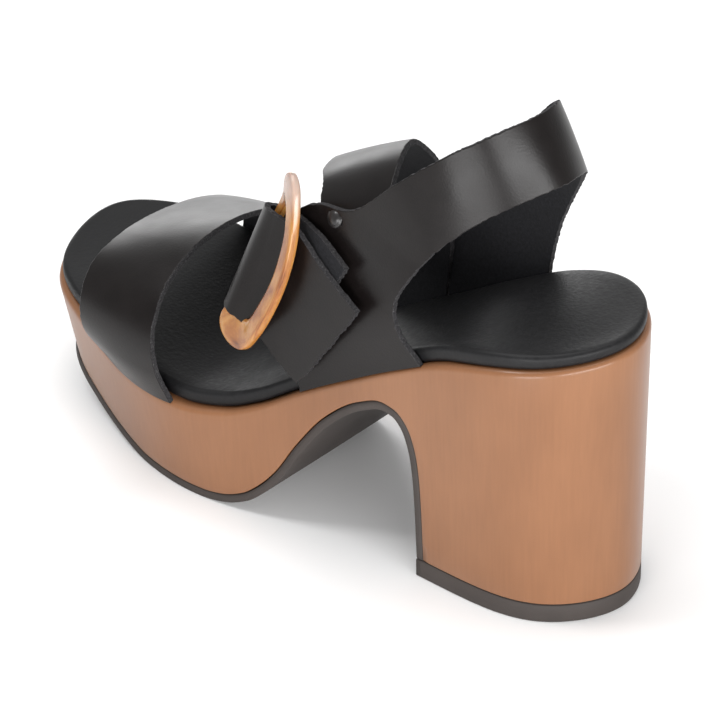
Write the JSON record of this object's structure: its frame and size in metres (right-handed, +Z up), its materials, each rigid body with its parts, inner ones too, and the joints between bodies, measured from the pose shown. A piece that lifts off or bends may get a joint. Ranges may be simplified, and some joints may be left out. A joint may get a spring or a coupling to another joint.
{
  "type": "heeled sandal",
  "caption": "Left platform sandal with a block heel, wide toe band, slingback and instep strap, fastened by a horn-look buckle on the outer side.",
  "frame": {"origin": "on the floor, under the centre of the shoe's bounding box", "axes": "+Z up, -Y towards the toe, +X towards the outer side of the left foot"},
  "size_m": [0.0932, 0.2358, 0.1656],
  "materials": {
    "wood_look": "tan-brown wood-look unit with a satin lacquer",
    "rubber": "matte dark grey-brown rubber",
    "insole_leather": "smooth black leather over a thin pad",
    "strap_leather": "smooth black leather with raw cut edges",
    "horn": "polished amber-brown resin with a horn look"
  },
  "bodies": {
    "root": {"platform_heel": "wood_look", "outsole": "rubber", "heel_lift": "rubber", "insole": "insole_leather", "toe_band": "strap_leather", "strap_upper": "strap_leather", "buckle": "horn"}
  },
  "joints": []
}
